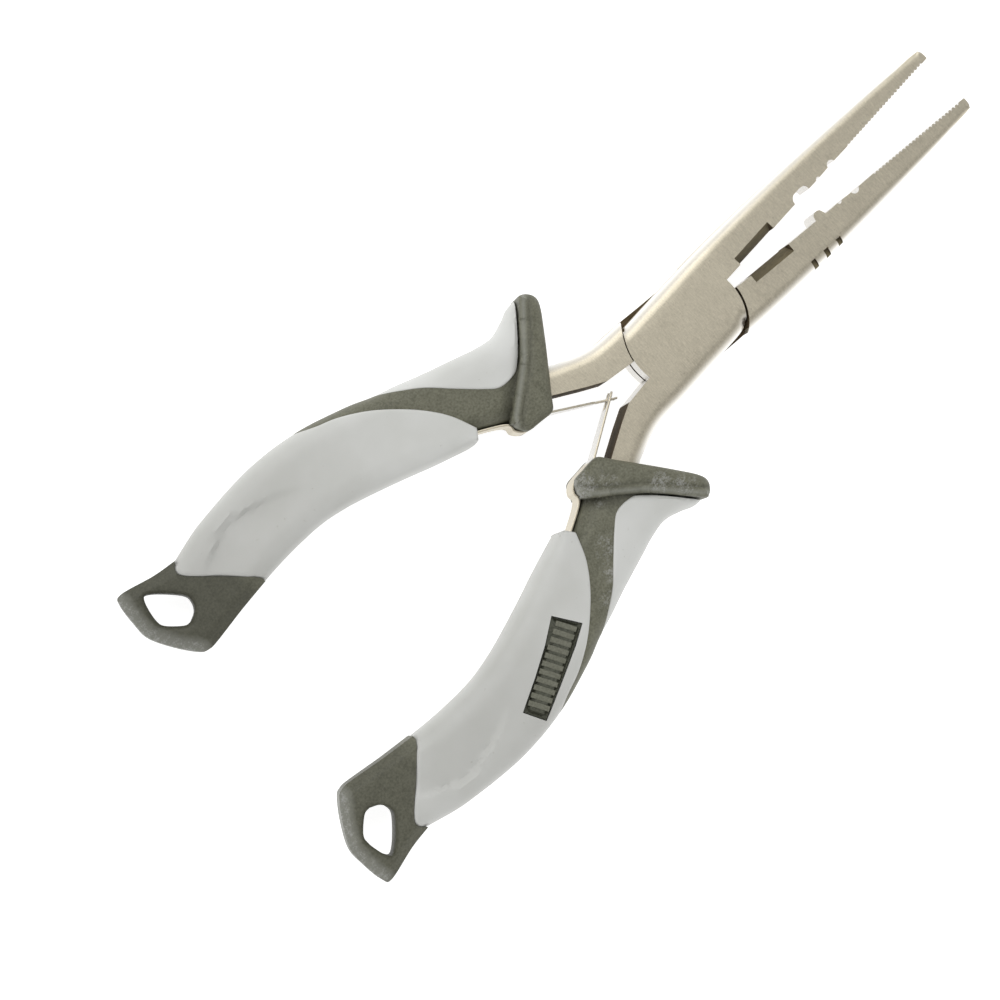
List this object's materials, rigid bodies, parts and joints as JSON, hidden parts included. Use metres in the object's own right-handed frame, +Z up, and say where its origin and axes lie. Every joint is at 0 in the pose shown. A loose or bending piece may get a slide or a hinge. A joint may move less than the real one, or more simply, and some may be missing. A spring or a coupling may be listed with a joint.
{
  "type": "fishing pliers",
  "caption": "Long-nose fishing pliers with side cutter, crimping notches, serrated tips, interlocked leaf springs, moulded soft grips and lanyard eyes.",
  "frame": {"origin": "middle of the pliers' footprint on the surface they lie on, at the sprung-open rest pose", "axes": "+X along the centre line of the jaws towards their tips, +Y towards the upper jaw, half a, +Z up through the joint"},
  "size_m": [0.17, 0.0682, 0.0144],
  "materials": {
    "jaw_steel": "satin nickel plate, warm grey, fine grained",
    "rivet_steel": "ground flush, satin",
    "spring_steel": "rolled strip, satin",
    "grip_grey": "soft-touch moulding, fine matt texture",
    "grip_white": "matt white moulding",
    "badge_grey": "matt inlay with plain ribs"
  },
  "bodies": {
    "half_a": {"jaw_half_a": "jaw_steel", "pivot_rivet": "rivet_steel", "grip_core_a": "grip_grey", "main_panel_a": "grip_white", "thumb_panel_a": "grip_white", "badge_a": "badge_grey", "spring_root_a": "spring_steel", "spring_rivet_a": "rivet_steel"},
    "half_b": {"jaw_half_b": "jaw_steel", "grip_core_b": "grip_grey", "main_panel_b": "grip_white", "thumb_panel_b": "grip_white", "badge_b": "badge_grey", "spring_root_b": "spring_steel", "spring_rivet_b": "rivet_steel"},
    "leaf_a": {"spring_blade_a": "spring_steel"},
    "leaf_b": {"spring_blade_b": "spring_steel"}
  },
  "joints": [
    {"name": "jaw_pivot", "type": "hinge", "parent": "half_a", "child": "half_b", "pos_m": [0.02004, 0, 0.0072], "axis": [0, 0, 1], "range_deg": [-8, 8.4], "stiffness_Nm_per_rad": 3},
    {"name": "leaf_a_flex", "type": "hinge", "parent": "half_a", "child": "leaf_a", "pos_m": [-0.00803, -0.00552, 0.0072], "axis": [0, 0, 1], "range_deg": [-8.2, 7.8]},
    {"name": "leaf_b_flex", "type": "hinge", "parent": "half_b", "child": "leaf_b", "pos_m": [-0.00803, 0.00552, 0.0072], "axis": [0, 0, 1], "range_deg": [-7.8, 8.2]}
  ],
  "couplings": [
    {"joint": "leaf_a_flex", "follows": "jaw_pivot", "ratio": -0.95},
    {"joint": "leaf_b_flex", "follows": "jaw_pivot", "ratio": 0.95}
  ]
}
